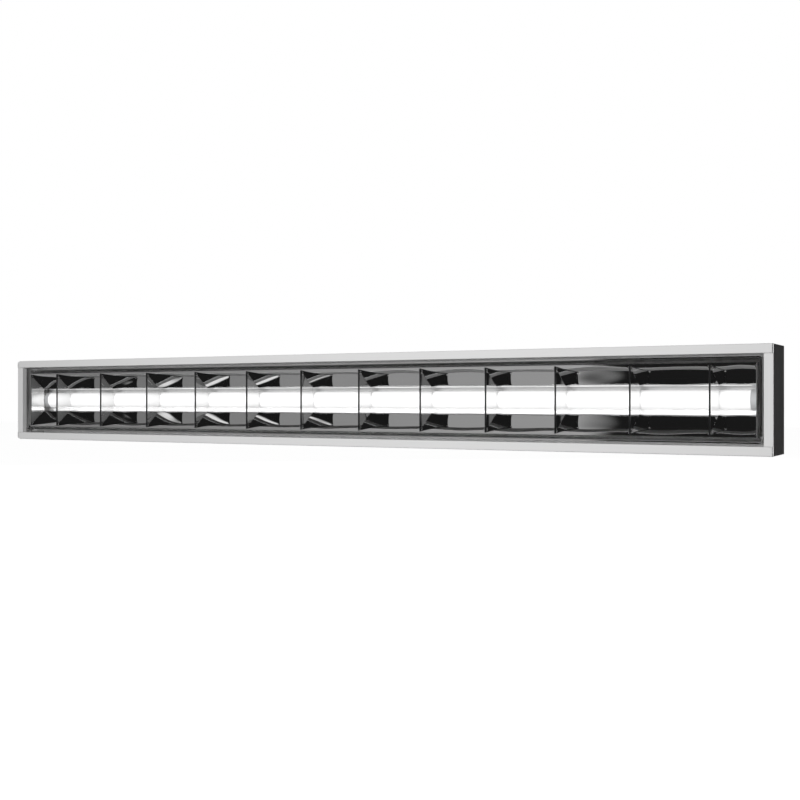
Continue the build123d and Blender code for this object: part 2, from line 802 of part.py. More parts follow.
# Lampholders on the gear tray, each with a rotor that turns with the lamp and two contact leaves
def lampholder(side):
    """One lampholder; its lamp side faces the middle of the luminaire."""
    face_x = side * holder_face_x
    with BuildPart() as holder:
        with BuildSketch(Plane.YZ.offset(face_x)):
            with Locations((lamp_y, 0)):
                Circle(holder_radius)
            with Locations(((lamp_y + tray_floor_y) / 2, 0)):
                Rectangle(tray_floor_y - lamp_y, 2 * holder_radius)
        extrude(amount=side * holder_thickness)
        chamfer(holder.edges().filter_by(GeomType.CIRCLE), holder_edge)
        for radius, depth in (
            (rotor_bore_radius, rotor_recess_depth),
            (rotor_bore_radius - chamber_step, rotor_recess_depth + chamber_depth),
        ):
            with BuildSketch(Plane.YZ.offset(face_x)):
                with Locations((lamp_y, 0)):
                    Circle(radius)
            extrude(amount=side * depth, mode=Mode.SUBTRACT)
        with BuildSketch(Plane.YZ.offset(face_x)):
            with Locations((lamp_y - holder_radius / 2, 0)):
                Rectangle(holder_radius, pin_slot_width)
        extrude(amount=side * (contact_face_x - holder_face_x), mode=Mode.SUBTRACT)
        with BuildSketch(Plane.XZ.offset(housing_sheet)):
            with Locations((side * holder_middle_x, 0)):
                Rectangle(2 * foot_half_depth, 2 * foot_half_width)
        extrude(amount=tray_floor_stand - housing_sheet)
    return holder


def lampholder_contacts(side):
    """The two bent contact leaves of one lampholder."""
    chamber_end_x = holder_face_x + rotor_recess_depth + chamber_depth
    with BuildPart() as contacts:
        for half in (-1, 1):
            with BuildSketch(Plane.XZ.offset(lamp_stand - contact_width / 2)):
                with BuildLine():
                    Polyline(
                        (side * contact_face_x, half * (rotor_hub + contact_height)),
                        (side * contact_face_x, half * rotor_hub),
                        (side * chamber_end_x, half * rotor_hub),
                        (side * chamber_end_x, half * (rotor_hub + contact_sheet)),
                        (side * (contact_face_x + contact_sheet), half * (rotor_hub + contact_sheet)),
                        (side * (contact_face_x + contact_sheet), half * (rotor_hub + contact_height)),
                        close=True,
                    )
                make_face()
            extrude(amount=contact_width)
    return contacts


def lamp_rotor(side):
    """The slotted disc that holds one pair of lamp pins."""
    with BuildPart() as rotor:
        with BuildSketch(Plane.YZ.offset(side * rotor_face_x)):
            with Locations((lamp_y, 0)):
                Circle(rotor_radius)
            for half in (-1, 1):
                with Locations((lamp_y, half * (rotor_hub + rotor_radius / 2))):
                    Rectangle(pin_slot_width, rotor_radius, mode=Mode.SUBTRACT)
        extrude(amount=side * rotor_thickness)
    return rotor


for side, name in ((-1, "left"), (1, "right")):
    save(lampholder(side), f"lampholder_{name}")
    save(lampholder_contacts(side), f"lampholder_contacts_{name}")
    save(lamp_rotor(side), f"lamp_rotor_{name}")


# Mains terminal: three poles, each a brass sleeve with two clamp screws
pole_places = [terminal_z + (i - 1) * pole_pitch for i in range(3)]
live_z, neutral_z, earth_z = pole_places
terminal_screw_places = [
    (terminal_x + side * terminal_screw_offset, z) for z in pole_places for side in (-1, 1)
]

with BuildPart() as terminal_block:
    with BuildSketch(Plane.XZ.offset(housing_sheet)):
        with Locations((terminal_x, terminal_z)):
            Rectangle(terminal_length, terminal_width)
    extrude(amount=terminal_height)
    with BuildSketch(Plane.YZ.offset(terminal_x)):
        with Locations([(pole_y, z) for z in pole_places]):
            Circle(sleeve_radius + sleeve_gap)
    extrude(amount=terminal_length, both=True, mode=Mode.SUBTRACT)
    with BuildSketch(Plane.XZ.offset(-pole_y)):
        with Locations(terminal_screw_places):
            Circle(terminal_well_radius)
    extrude(amount=terminal_height, mode=Mode.SUBTRACT)
save(terminal_block, "terminal_block")

with BuildPart() as terminal_clamps:
    for z in pole_places:
        sleeve_start = terminal_x - sleeve_length / 2
        sleeve_bore = lead_radius + lead_bore_gap
        round_along_x(sleeve_start, sleeve_length, (pole_y, z), sleeve_radius, sleeve_bore)
    with BuildSketch(Plane.XZ.offset(-pole_y)):
        with Locations(terminal_screw_places):
            Circle(terminal_screw_radius + thread_gap)
    extrude(amount=sleeve_radius, mode=Mode.SUBTRACT)
save(terminal_clamps, "terminal_clamps")

with BuildPart() as terminal_screws:
    for place in terminal_screw_places:
        round_along_y(place, pole_y - lead_radius, terminal_screw_length, terminal_screw_radius)
        with BuildSketch(Plane.XZ.offset(lead_radius + terminal_screw_length - pole_y)):
            with Locations(place):
                Rectangle(2 * terminal_screw_radius, screw_slot_width)
        extrude(amount=-screw_slot_depth, mode=Mode.SUBTRACT)
save(terminal_screws, "terminal_screws")


# Leads from the terminal to the lampholders and to the earth stud, held down by saddles
def lead(route_points, radii):
    """A round lead along a route with rounded corners."""
    with BuildPart() as wire:
        with BuildLine() as route:
            FilletPolyline(*route_points, radius=radii)
        with BuildSketch(Plane(route.line @ 0, z_dir=route.line % 0)):
            Circle(lead_radius)
        sweep(path=route.line)
    return wire


def mains_lead(side, z):
    """A lead from the terminal along the duct and down to one lampholder's foot."""
    inner_x = terminal_x + side * (terminal_length / 2 - lead_insertion)
    ramp_x = terminal_x + side * (terminal_length / 2 + lead_straight)
    return lead(
        (
            (inner_x, pole_y, z),
            (ramp_x, pole_y, z),
            (ramp_x + side * lead_ramp, lead_y, z),
            (side * holder_middle_x, lead_y, z),
            (side * holder_middle_x, lead_y, foot_half_width),
        ),
        (lead_ramp_radius, lead_ramp_radius, lead_turn_radius),
    )


save(mains_lead(1, live_z), "lead_live")
save(mains_lead(-1, neutral_z), "lead_neutral")

lug_axis_y = inner_back_y - lug_barrel_radius
lug_barrel_x = earth_x + lug_neck
earth_ramp_x = terminal_x - terminal_length / 2 - lead_straight
save(
    lead(
        (
            (terminal_x - terminal_length / 2 + lead_insertion, pole_y, earth_z),
            (earth_ramp_x, pole_y, earth_z),
            (earth_ramp_x - lead_ramp, lug_axis_y, earth_z),
            (lug_barrel_x, lug_axis_y, earth_z),
        ),
        lead_ramp_radius,
    ),
    "lead_earth",
)

clip_steps = (1, 2, 3)
clip_places = [(k * clip_pitch, live_z) for k in clip_steps]
clip_places += [(-k * clip_pitch, neutral_z) for k in clip_steps]

with BuildPart() as lead_clips:
    clip_radius = lead_radius + clip_play + clip_wall
    for x, z in clip_places:
        with BuildSketch(Plane.YZ.offset(x - clip_length / 2)):
            with Locations((lead_y, z)):
                Circle(clip_radius)
            with Locations((inner_back_y, z)):
                Rectangle(inner_back_y - lead_y, 2 * clip_radius, align=(Align.MAX, Align.CENTER))
                Rectangle(clip_radius, 4 * clip_radius, align=(Align.MIN, Align.CENTER), mode=Mode.SUBTRACT)
                Rectangle(
                    inner_back_y - lead_y,
                    2 * (lead_radius + clip_play),
                    align=(Align.MAX, Align.CENTER),
                    mode=Mode.SUBTRACT,
                )
            with Locations((lead_y, z)):
                Circle(lead_radius + clip_play, mode=Mode.SUBTRACT)
        extrude(amount=clip_length)
save(lead_clips, "lead_clips")

# Earth connection
with BuildPart() as earth_stud:
    round_along_y((earth_x, earth_z), inner_back_y, stud_length, stud_radius)
    chamfer(earth_stud.edges().sort_by(Axis.Y)[0], pin_chamfer)
save(earth_stud, "earth_stud")

with BuildPart() as earth_lug:
    with BuildSketch(Plane.XZ.offset(housing_sheet)):
        with Locations((earth_x, earth_z)):
            Circle(lug_radius)
            Rectangle(lug_neck + lug_barrel_radius, 2 * lug_barrel_radius, align=(Align.MIN, Align.CENTER))
            Circle(stud_radius + thread_gap, mode=Mode.SUBTRACT)
    extrude(amount=lug_thickness)
    round_along_x(lug_barrel_x, lug_barrel_length, (lug_axis_y, earth_z), lug_barrel_radius)
    with BuildSketch(Plane.YZ.offset(lug_barrel_x)):
        with Locations((lug_axis_y, earth_z)):
            Circle(lead_radius + sleeve_gap)
    extrude(amount=lug_barrel_length, mode=Mode.SUBTRACT)
save(earth_lug, "earth_lug")

with BuildPart() as earth_nut:
    with BuildSketch(Plane.XZ.offset(housing_sheet + lug_thickness)):
        with Locations((earth_x, earth_z)):
            RegularPolygon(nut_across_flats / 2, 6, major_radius=False)
            Circle(stud_radius + thread_gap, mode=Mode.SUBTRACT)
    extrude(amount=nut_height)
save(earth_nut, "earth_nut")

# Cable grommet, pressed into the back from the inside
with BuildPart() as cable_grommet:
    entry = (entry_x, entry_z)
    neck_radius = entry_hole_radius - grommet_fit_gap
    round_along_y(entry, 0, housing_sheet, neck_radius, grommet_bore_radius)
    round_along_y(entry, inner_back_y, grommet_flange_height, grommet_flange_radius, grommet_bore_radius)
    chamfer(cable_grommet.edges().group_by(Axis.Y)[0].sort_by(SortBy.LENGTH)[-1], grommet_edge)
save(cable_grommet, "cable_grommet")
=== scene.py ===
import math
import random

import bmesh
import bpy
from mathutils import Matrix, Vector

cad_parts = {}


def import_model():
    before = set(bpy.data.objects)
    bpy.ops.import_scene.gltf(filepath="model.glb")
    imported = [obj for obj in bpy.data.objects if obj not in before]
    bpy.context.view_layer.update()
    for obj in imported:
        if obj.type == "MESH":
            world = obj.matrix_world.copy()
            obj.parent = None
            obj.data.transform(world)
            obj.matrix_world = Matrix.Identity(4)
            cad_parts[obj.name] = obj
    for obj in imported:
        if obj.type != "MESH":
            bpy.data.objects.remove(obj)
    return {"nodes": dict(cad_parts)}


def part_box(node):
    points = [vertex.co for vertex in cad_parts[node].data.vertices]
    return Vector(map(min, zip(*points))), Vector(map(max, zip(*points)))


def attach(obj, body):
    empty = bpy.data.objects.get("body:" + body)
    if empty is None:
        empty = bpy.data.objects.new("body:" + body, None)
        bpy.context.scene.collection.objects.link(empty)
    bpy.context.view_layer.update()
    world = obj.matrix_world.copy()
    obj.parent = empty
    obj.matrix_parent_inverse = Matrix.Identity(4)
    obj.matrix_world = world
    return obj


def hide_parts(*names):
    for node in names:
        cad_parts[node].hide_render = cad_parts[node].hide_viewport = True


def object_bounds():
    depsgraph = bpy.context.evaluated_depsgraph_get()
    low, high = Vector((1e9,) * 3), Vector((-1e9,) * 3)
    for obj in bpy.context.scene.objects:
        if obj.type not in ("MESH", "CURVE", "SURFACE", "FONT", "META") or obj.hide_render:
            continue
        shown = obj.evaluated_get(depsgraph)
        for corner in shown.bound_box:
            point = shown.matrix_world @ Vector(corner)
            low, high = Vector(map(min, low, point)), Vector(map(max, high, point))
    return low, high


# Surface-mounted linear luminaire with a mirror louvre. Metres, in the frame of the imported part:
# X along the length, the light face looks towards -Y, Z up, origin at the centre of the back face.

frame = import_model()
cad_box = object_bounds()
nodes = frame["nodes"]

# Louvre sheet sizes, as in the part
reflector_sheet = 0.0005
reflector_bow = 0.0006
ridge_radius = 0.001
wing_bow_share = 0.2
rim_return = 0.006
mitre_gap = 0.0003
blade_sheet = 0.0004
blade_nose_radius = 0.001
blade_half_width = 0.0055
end_blade_reach = 0.0059
blade_depth = 0.0254
blade_bow = 0.0004
blade_side_gap = 0.00025
reflector_depth = 0.0266
tab_stand = 0.0015
tab_play = 0.00025
front_tab_depth = 0.0032
front_tab_height = 0.0024
front_slot_radius = 0.0017
rear_tab_depth = 0.014
rear_tab_height = 0.004
catch_offset = 0.4
catch_slot_size = (0.0072, 0.0034)
catch_slot_setback = 0.003
ear_radius = 0.0032
ear_length = 0.0096
pin_hole_radius = 0.00202

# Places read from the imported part
reflector_low, reflector_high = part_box("side_reflector_top")
end_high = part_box("end_blade_right")[1]
ridge_y = reflector_low.y
throat_y = ridge_y + reflector_depth
throat_z = reflector_low.z
rim_z = reflector_high.z
rim_x = end_high.x
wing_width = 0.008
wing_depth = 0.0075
ridge_z = rim_z - wing_width
ridge_x = rim_x - wing_width
rim_y = ridge_y + wing_depth
return_y = rim_y + rim_return
blade_names = [f"cross_blade_{i:02d}" for i in range(1, 13)]
blade_places = [sum(corner.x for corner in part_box(name)) / 2 for name in blade_names]
blade_rear_y = ridge_y + blade_depth
pin_low, pin_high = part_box("hinge_pin_right")
pivot_y = (pin_low.y + pin_high.y) / 2
pivot_z = (pin_low.z + pin_high.z) / 2

tube_low, tube_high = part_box("lamp_tube")
lamp_axis_y = (tube_low.y + tube_high.y) / 2
lamp_glow = 0.55

# Small unevenness of the thin mirror sheets
cell_bulge = 0.00015
cell_twist = 0.0001
dimple_depth = 0.0001
dimple_radius = 0.0022
columns_per_cell = 36
column_crowding = 0.9
warp_seed = 7
# How far back from the nose the blades are coloured nearly black: painted shade
dark_fold_reach = 0.0013

# How finely the meshes are divided
face_points_count = 33
fold_points_count = 9
wing_points_count = 15
rim_steps = 3
sharp_angle = math.radians(40)

# The studio that the mirrors see, so large that every cell sees it alike. Places are parts of a unit
# direction: along X, and above or below the level. A pale wall to the left grows lighter towards its edge.
surround_radius = 60
room_tone = 0.012
panel_edge = 0.015
wall_span = (-1.1, -0.32)
wall_tones = (0.02, 0.35)
studio_panels = (
    # window
    ((0.5, 0.61), (0.26, 0.46), 1.0),
    # grey screen to the right
    ((0.68, 0.9), (-0.1, 0.26), 0.15),
    # strip lamp overhead
    ((0.22, 0.3), (0.7, 1.1), 0.2),
)

# Lifts the floor to white where it is seen, and leaves the object's shadow on it
floor_glow = 0.95
floor_drop = 0.25
floor_half = 12

# Dim light from all round, and soft lamps: name, place, size and watts
fill_tone = 0.037
soft_lamps = (
    ("key", (0.25, -2.0, 0.3), (1.0, 0.8), 37),
    ("back_left", (-2.4, 2.6, 1.2), (2.0, 2.0), 30),
)
# The lamp's own light on the tray behind it, above and below its axis: height and watts
tray_lamps = ((0.0165, 0.01), (-0.0165, 0.06))
tray_lamp_size = (1.2, 0.004)
tray_lamp_setback = 0.002

camera_place = (0.875, -1.412, 0)
camera_turn = math.radians(29.11)
camera_lens = 50
camera_sensor = 36


# Geometry helpers
def arc_points(start, end, bow, count):
    """Points on a shallow arc that stands out by bow to the left of the line from start to end."""
    start, end = Vector(start), Vector(end)
    chord = end - start
    left = Vector((-chord.y, chord.x)).normalized()
    if abs(bow) < 1e-9:
        return [start.lerp(end, i / (count - 1)) for i in range(count)]
    half = chord.length / 2
    radius = (half * half + bow * bow) / (2 * abs(bow))
    centre = (start + end) / 2 + left * (bow - math.copysign(radius, bow))
    first = math.atan2(start.y - centre.y, start.x - centre.x)
    last = math.atan2(end.y - centre.y, end.x - centre.x)
    sweep = (last - first + math.pi) % (2 * math.pi) - math.pi
    turns = [first + sweep * i / (count - 1) for i in range(count)]
    return [centre + Vector((math.cos(a), math.sin(a))) * radius for a in turns]


def fold_start(start, centre, radius, bow, side):
    """Where a shallow arc from start meets a fold: left of the fold's centre (side 1) or right (side -1)."""
    start, centre = Vector(start), Vector(centre)
    along = centre - start
    lean = -2 * math.atan(2 * bow / along.length)
    outward = Vector((-along.y, along.x)).normalized() * side
    turned = Vector((
        outward.x * math.cos(lean) - outward.y * math.sin(lean),
        outward.x * math.sin(lean) + outward.y * math.cos(lean),
    ))
    return centre + turned * radius


def fold_points(start, end, centre, count):
    """Points of a small round fold from start to end about centre."""
    centre = Vector(centre)
    first = math.atan2(start[1] - centre.y, start[0] - centre.x)
    last = math.atan2(end[1] - centre.y, end[0] - centre.x)
    sweep = (last - first + math.pi) % (2 * math.pi) - math.pi
    radius = (Vector(start) - centre).length
    turns = [first + sweep * i / (count - 1) for i in range(count)]
    return [centre + Vector((math.cos(a), math.sin(a))) * radius for a in turns]


def without_repeats(points):
    """The points with those left out that fall on the one before."""
    kept = [points[0]]
    for point in points[1:]:
        if (point - kept[-1]).length > 1e-6:
            kept.append(point)
    return kept


def normals_of(points):
    """Unit normals, to the left of the way along a line of points."""
    found = []
    for i in range(len(points)):
        before = points[max(i - 1, 0)]
        after = points[min(i + 1, len(points) - 1)]
        along = (after - before).normalized()
        found.append(Vector((-along.y, along.x)))
    return found


def new_object(name, mesh):
    piece = bpy.data.objects.new(name, mesh)
    bpy.context.scene.collection.objects.link(piece)
    return piece


def object_from(bm, name):
    """A new object with the mesh that was built up in bm."""
    mesh = bpy.data.meshes.new(name)
    bm.to_mesh(mesh)
    bm.free()
    return new_object(name, mesh)


def shade(mesh):
    """Smooth shading, with the folds kept sharp."""
    mesh.shade_smooth()
    mesh.set_sharp_from_angle(angle=sharp_angle)


def sheet_mesh(name, rows, thickness):
    """A closed thin sheet: rows of (point, outward) pairs, one row per step across the sheet."""
    bm = bmesh.new()
    faces_in = [[bm.verts.new(point) for point, outward in row] for row in rows]
    faces_out = [[bm.verts.new(point + outward * thickness) for point, outward in row] for row in rows]
    last = len(rows) - 1
    end = len(rows[0]) - 1
    for i in range(last):
        for j in range(end):
            bm.faces.new((faces_in[i][j], faces_in[i][j + 1], faces_in[i + 1][j + 1], faces_in[i + 1][j]))
            bm.faces.new((faces_out[i][j], faces_out[i + 1][j], faces_out[i + 1][j + 1], faces_out[i][j + 1]))
        bm.faces.new((faces_in[i][0], faces_in[i + 1][0], faces_out[i + 1][0], faces_out[i][0]))
        bm.faces.new((faces_in[i][end], faces_out[i][end], faces_out[i + 1][end], faces_in[i + 1][end]))
    for j in range(end):
        bm.faces.new((faces_in[0][j], faces_out[0][j], faces_out[0][j + 1], faces_in[0][j + 1]))
        bm.faces.new((faces_in[last][j], faces_in[last][j + 1], faces_out[last][j + 1], faces_out[last][j]))
    bmesh.ops.recalc_face_normals(bm, faces=bm.faces)
    piece = object_from(bm, name)
    shade(piece.data)
    return piece


# Mirror sheets
throat = (throat_y, throat_z)
ridge_centre = (ridge_y + ridge_radius, ridge_z)
ridge_start = fold_start(throat, ridge_centre, ridge_radius, reflector_bow, 1)
wing_start = (ridge_y + ridge_radius, ridge_z + ridge_radius)
wing_bow = wing_bow_share * math.hypot(wing_width, wing_depth)


def reflector_section():
    """The mirror side of a side reflector, as (y, z) points from throat to return rim."""
    face = arc_points(throat, ridge_start, reflector_bow, face_points_count)
    fold = fold_points(ridge_start, wing_start, ridge_centre, fold_points_count)
    wing = arc_points(wing_start, (rim_y, rim_z), -wing_bow, wing_points_count)
    rim = [Vector((rim_y + rim_return * i / rim_steps, rim_z)) for i in range(rim_steps + 1)]
    return without_repeats(face + fold + wing + rim)


def section_end_x(z):
    """How far the side reflector reaches along X at a given height: mitred and rounded at the wing."""
    if z <= ridge_z:
        return ridge_x - mitre_gap
    rise = min(z - ridge_z, wing_width)
    mitre = ridge_x + rise - mitre_gap
    rounding = ridge_x + math.sqrt(max(wing_width**2 - rise**2, 0))
    return min(mitre, rounding)


cell_edges = [-ridge_x] + blade_places + [ridge_x]


def sheet_lift(warp, along_cell, along_face):
    """How far one cell's sheet stands out from its true curve: a bulge, and a twist of its own."""
    across = math.sin(math.pi * along_cell)
    bulge = cell_bulge * across**2 * math.sin(math.pi * along_face)
    first = warp[0] * math.sin(2 * math.pi * along_cell) * math.sin(math.pi * along_face)
    second = warp[1] * across * math.sin(2 * math.pi * along_face)
    return bulge + cell_twist * (first + second)


def dimple(from_blade, from_tab):
    """How far the sheet is drawn out around the hole of a blade's front tab."""
    distance = math.hypot(from_blade, from_tab)
    return dimple_depth * math.exp(-((distance / dimple_radius) ** 2))


def side_reflector(side, name):
    """The top (side 1) or bottom (side -1) reflector with its wing and rim."""
    section = reflector_section()
    outward = normals_of(section)
    chance = random.Random(warp_seed + side)
    rows = []
    for low, high in zip(cell_edges, cell_edges[1:]):
        warp = (chance.uniform(-1, 1), chance.uniform(-1, 1))
        for k in range(columns_per_cell + (high == ridge_x)):
            turn = 2 * math.pi * k / columns_per_cell
            along_cell = (turn - column_crowding * math.sin(turn)) / (2 * math.pi)
            column = low + (high - low) * along_cell
            row = []
            for (y, z), (out_y, out_z) in zip(section, outward):
                x = column * section_end_x(z) / ridge_x
                along_face = min(max((z - throat_z) / (ridge_z - throat_z), 0), 1)
                lift = sheet_lift(warp, along_cell, along_face)
                if z < ridge_z:
                    lift += dimple(min(column - low, high - column), y - ridge_y - front_tab_depth)
                point = Vector((x, y - out_y * lift, side * (z - out_z * lift)))
                row.append((point, Vector((0, -out_y, -side * out_z))))
            rows.append(row)
    piece = sheet_mesh(name, rows, reflector_sheet)
    cut_slots(piece, side)
    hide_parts(name)
    return piece


def flank(nose_centre, side, flank_reach, count=13):
    """Points of one blade flank from its rear edge to the fold at the front."""
    rear = (nose_centre[0] - side * flank_reach, blade_rear_y)
    front = fold_start(rear, nose_centre, blade_nose_radius, side * blade_bow, -side)
    return arc_points(rear, front, side * blade_bow, count)


def flank_slope(flank_reach):
    return (flank_reach - blade_nose_radius) / (blade_depth - blade_nose_radius)


def flank_x(depth, flank_reach):
    """Distance of a flank's sheet from the plane of its own nose, at a given depth behind the ridge."""
    share = (depth - blade_nose_radius) / (blade_depth - blade_nose_radius)
    straight_x = blade_nose_radius + flank_slope(flank_reach) * (depth - blade_nose_radius)
    return straight_x - 4 * blade_bow * share * (1 - share) - blade_sheet / 2


face_points = arc_points(throat, ridge_start, reflector_bow, 2 * face_points_count - 1)
tabs = ((front_tab_depth, front_tab_height), (rear_tab_depth, rear_tab_height))


def window_z(y):
    """Half the height between the side reflectors at a given depth."""
    if y <= face_points[-1].x:
        return face_points[-1].y
    for near, far in zip(face_points, face_points[1:]):
        if far.x <= y <= near.x:
            return near.y + (far.y - near.y) * (near.x - y) / (near.x - far.x)
    return throat_z


def blade_reach(y):
    """Half the height of a blade at a given depth: its tabs stand out through the reflectors' slots."""
    for depth, height in tabs:
        if abs(y - ridge_y - depth) <= height / 2:
            return window_z(ridge_y + depth) + reflector_sheet + tab_stand
    return window_z(y) - blade_side_gap


def with_tab_edges(points):
    """The points of a flank, with a close pair added at each edge of each tab."""
    step = 0.00002
    edges = []
    for depth, height in tabs:
        for edge, inward in ((-height / 2, 1), (height / 2, -1)):
            edges.append(ridge_y + depth + edge - inward * step)
            edges.append(ridge_y + depth + edge + inward * step)
    found = [points[0]]
    for before, after in zip(points, points[1:]):
        low, high = sorted((before.y, after.y))
        between = sorted((y for y in edges if low < y < high), reverse=before.y > after.y)
        for y in between:
            found.append(before.lerp(after, (y - before.y) / (after.y - before.y)))
        found.append(after)
    return found


def paint_fold_dark(piece, nose_x):
    """Colours the folded front edge nearly black: painted shade that draws each blade's front as a dark line.
    """
    piece.data.materials.append(finishes["dark_painted_fold"])
    reach_y = ridge_y + blade_nose_radius + dark_fold_reach
    for face in piece.data.polygons:
        if abs(face.center.x - nose_x) < 2 * blade_nose_radius and face.center.y < reach_y:
            face.material_index = 1


def blade_mesh(name, section, reach, steps=12):
    """A sheet across the louvre that follows section in (x, y), half as high as reach(x, y) says."""
    outward = normals_of(section)
    rows = []
    for i in range(steps + 1):
        share = 2 * i / steps - 1
        row = []
        for (x, y), (out_x, out_y) in zip(section, outward):
            row.append((Vector((x, y, share * reach(x, y))), Vector((out_x, out_y, 0))))
        rows.append(row)
    return sheet_mesh(name, rows, blade_sheet)


def cross_blade(name, x):
    nose_centre = (x, ridge_y + blade_nose_radius)
    left = with_tab_edges(flank(nose_centre, 1, blade_half_width))
    right = with_tab_edges(list(reversed(flank(nose_centre, -1, blade_half_width))))
    nose = fold_points(left[-1], right[0], nose_centre, fold_points_count)
    piece = blade_mesh(name, without_repeats(left + nose + right), lambda x, y: blade_reach(y))
    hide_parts(name)
    return piece


def hinge_ear(side, name):
    """A thin plate at the lower corner of an end blade with the hinge pin's hole."""
    count = 48
    turns = [2 * math.pi * k / count for k in range(count)]
    hole, edge = [], []
    for a in turns:
        along_y, along_z = math.cos(a), math.sin(a)
        hole.append((pivot_y + pin_hole_radius * along_y, pivot_z + pin_hole_radius * along_z))
        if along_y < 0 and along_z < 0:
            reach = ear_radius
        else:
            limits = [return_y - pivot_y if along_y > 0 else ear_radius,
                      ear_length - ear_radius if along_z > 0 else ear_radius]
            spans = [limit / abs(part) for limit, part in zip(limits, (along_y, along_z)) if abs(part) > 1e-6]
            reach = min(spans)
        edge.append((pivot_y + reach * along_y, pivot_z + reach * along_z))
    bm = bmesh.new()
    near, far = side * (rim_x - blade_sheet), side * rim_x
    rings = [[bm.verts.new((x, y, z)) for y, z in ring]
             for x, ring in ((near, hole), (near, edge), (far, edge), (far, hole))]
    for ring, following in zip(rings, rings[1:] + rings[:1]):
        for k in range(count):
            after = (k + 1) % count
            bm.faces.new((ring[k], ring[after], following[after], following[k]))
    bmesh.ops.recalc_face_normals(bm, faces=bm.faces)
    return object_from(bm, name)


def end_blade(side, name):
    """The flank at one end of the louvre with its outer wing and return rim; its hinge ear is made apart by
    hinge_ear.
    """
    nose_centre = (ridge_x, ridge_y + blade_nose_radius)
    inner = with_tab_edges(flank(nose_centre, 1, end_blade_reach))
    wing_root = (ridge_x + blade_nose_radius, ridge_y + blade_nose_radius)
    nose = fold_points(inner[-1], wing_root, nose_centre, fold_points_count)
    wing = arc_points(wing_root, (rim_x, rim_y), wing_bow, wing_points_count)
    rim = [Vector((rim_x, rim_y + rim_return * i / rim_steps)) for i in range(rim_steps + 1)]
    section = without_repeats(inner + nose + wing + rim)

    def reach(x, y):
        if x <= ridge_x:
            return blade_reach(y)
        out = min(x - ridge_x, wing_width)
        return min(ridge_z + out - mitre_gap / 2, ridge_z + math.sqrt(wing_width**2 - out**2))

    section = [Vector((side * x, y)) for x, y in section]
    if side < 0:
        section.reverse()
    piece = blade_mesh(name, section, lambda x, y: reach(side * x, y))
    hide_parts(name)
    return piece


# Slots for the blades' tabs and for the catch springs
def prism(bm, outline, low_z, high_z):
    """A closed upright prism over an outline of (x, y) points."""
    floor_ring = [bm.verts.new((x, y, low_z)) for x, y in outline]
    roof_ring = [bm.verts.new((x, y, high_z)) for x, y in outline]
    bm.faces.new(list(reversed(floor_ring)))
    bm.faces.new(roof_ring)
    for k in range(len(outline)):
        after = (k + 1) % len(outline)
        bm.faces.new((floor_ring[k], floor_ring[after], roof_ring[after], roof_ring[k]))


def front_slot_outline(x, flanks, flank_reach):
    """The round holes that the front tabs pass through; a blade's two holes run into one another."""
    y = ridge_y + front_tab_depth
    offset = flank_x(front_tab_depth, flank_reach)
    outline = []
    limit = math.acos(-offset / front_slot_radius) if len(flanks) == 2 else math.pi
    count = 20
    for flank_side in flanks:
        start = 0 if flank_side > 0 else math.pi
        for k in range(count):
            a = start - limit + 2 * limit * (k + 0.5) / count
            outline.append((
                x + flank_side * offset + front_slot_radius * math.cos(a),
                y + front_slot_radius * math.sin(a),
            ))
    return outline


def rear_slot_outline(x, flank_side, flank_reach):
    """The narrow slot for a rear tab, turned with its flank."""
    half_width = blade_sheet / 2 + tab_play
    half_height = rear_tab_height / 2 + tab_play
    turn = -flank_side * math.atan(flank_slope(flank_reach))
    centre = Vector((x + flank_side * flank_x(rear_tab_depth, flank_reach), ridge_y + rear_tab_depth))
    corners = ((-1, -1), (1, -1), (1, 1), (-1, 1))
    outline = []
    for across, along in corners:
        corner = Vector((across * half_width, along * half_height))
        turned = Vector((
            corner.x * math.cos(turn) - corner.y * math.sin(turn),
            corner.x * math.sin(turn) + corner.y * math.cos(turn),
        ))
        outline.append(centre + turned)
    return outline


def cut_slots(piece, side):
    """Cuts every slot out of one side reflector."""
    bm = bmesh.new()
    front_z = window_z(ridge_y + front_tab_depth)
    rear_z = window_z(ridge_y + rear_tab_depth)
    margin = 0.004
    fold_gap = 0.0002
    places = [(x, (1, -1), blade_half_width) for x in blade_places]
    places += [(-side_x * ridge_x, (side_x,), end_blade_reach) for side_x in (1, -1)]
    for x, flanks, flank_reach in places:
        front_outline = front_slot_outline(x, flanks, flank_reach)
        prism(bm, front_outline, front_z - margin, min(front_z + margin, ridge_z - fold_gap))
        for flank_side in flanks:
            prism(bm, rear_slot_outline(x, flank_side, flank_reach), rear_z - margin, rear_z + margin)
    half_x, half_y = (size / 2 for size in catch_slot_size)
    y = return_y - catch_slot_setback
    for x in (-catch_offset, catch_offset):
        corners = ((-half_x, -half_y), (half_x, -half_y), (half_x, half_y), (-half_x, half_y))
        prism(bm, [(x + dx, y + dy) for dx, dy in corners], rim_z - 0.002, rim_z + 0.002)
    if side < 0:
        bmesh.ops.scale(bm, vec=(1, 1, -1), verts=bm.verts)
    bmesh.ops.recalc_face_normals(bm, faces=bm.faces)
    cutter = object_from(bm, "slots")
    cut = piece.modifiers.new("slots", "BOOLEAN")
    cut.operation = "DIFFERENCE"
    cut.solver = "EXACT"
    cut.object = cutter
    graph = bpy.context.evaluated_depsgraph_get()
    whole = piece.data
    piece.data = bpy.data.meshes.new_from_object(piece.evaluated_get(graph))
    piece.data.name = whole.name
    piece.modifiers.clear()
    bpy.data.meshes.remove(whole)
    cutter_mesh = cutter.data
    bpy.data.objects.remove(cutter)
    bpy.data.meshes.remove(cutter_mesh)
    shade(piece.data)


